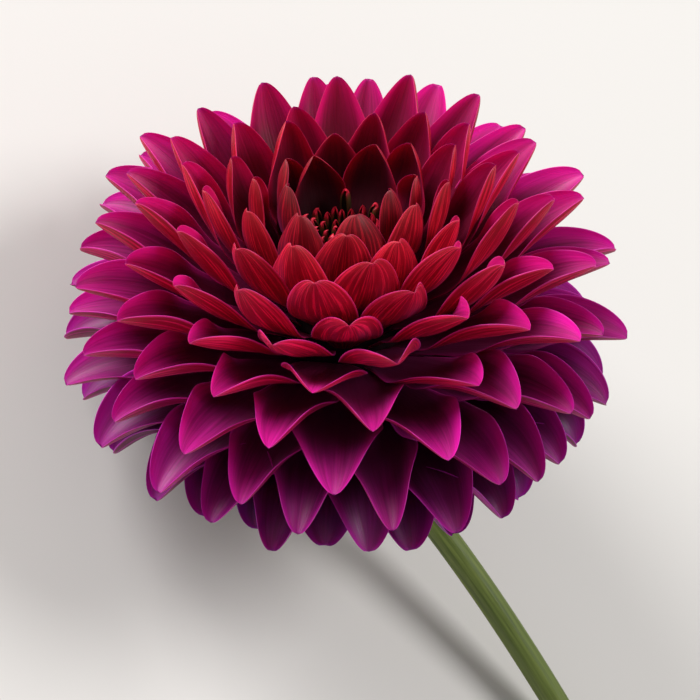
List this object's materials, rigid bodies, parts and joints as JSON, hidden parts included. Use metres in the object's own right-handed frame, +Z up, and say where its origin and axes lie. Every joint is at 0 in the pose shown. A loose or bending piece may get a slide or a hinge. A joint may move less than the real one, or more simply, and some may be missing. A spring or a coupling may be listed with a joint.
{
  "type": "dahlia flower",
  "caption": "Cut crimson and magenta dahlia bloom with spoon-shaped petals round a dark eye, lying on its side on its short bent stem.",
  "frame": {"origin": "centre of the flower's box, on the surface that it lies on", "axes": "+Z up from that surface, +Y the way the eye leans, so the stem runs towards -Y"},
  "size_m": [0.1192, 0.1792, 0.1021],
  "materials": {
    "outer_petal": "satin",
    "inner_petal": "satin",
    "eye": "matt",
    "receptacle": "satin",
    "inner_bract": "satin",
    "outer_bract": "satin",
    "stem": "satin"
  },
  "bodies": {
    "root": {"outer_petals_01": "outer_petal", "outer_petals_02": "outer_petal", "outer_petals_03": "outer_petal", "outer_petals_04": "outer_petal", "outer_petals_05": "outer_petal", "outer_petals_06": "outer_petal", "outer_petals_07": "outer_petal", "outer_petals_08": "outer_petal", "outer_petals_09": "outer_petal", "outer_petals_10": "outer_petal", "outer_petals_11": "outer_petal", "outer_petals_12": "outer_petal", "outer_petals_13": "outer_petal", "outer_petals_14": "outer_petal", "outer_petals_15": "outer_petal", "outer_petals_16": "outer_petal", "outer_petals_17": "outer_petal", "outer_petals_18": "outer_petal", "outer_petals_19": "outer_petal", "outer_petals_20": "outer_petal", "outer_petals_21": "outer_petal", "inner_petals_01": "inner_petal", "inner_petals_02": "inner_petal", "inner_petals_03": "inner_petal", "inner_petals_04": "inner_petal", "inner_petals_05": "inner_petal", "inner_petals_06": "inner_petal", "inner_petals_07": "inner_petal", "inner_petals_08": "inner_petal", "inner_petals_09": "inner_petal", "inner_petals_10": "inner_petal", "inner_petals_11": "inner_petal", "inner_petals_12": "inner_petal", "inner_petals_13": "inner_petal", "receptacle": "receptacle", "eye_bud": "eye", "inner_bract_01": "inner_bract", "inner_bract_02": "inner_bract", "inner_bract_03": "inner_bract", "inner_bract_04": "inner_bract", "inner_bract_05": "inner_bract", "inner_bract_06": "inner_bract", "inner_bract_07": "inner_bract", "inner_bract_08": "inner_bract", "outer_bract_01": "outer_bract", "outer_bract_02": "outer_bract", "outer_bract_03": "outer_bract", "outer_bract_04": "outer_bract", "outer_bract_05": "outer_bract", "stem": "stem"}
  },
  "joints": []
}
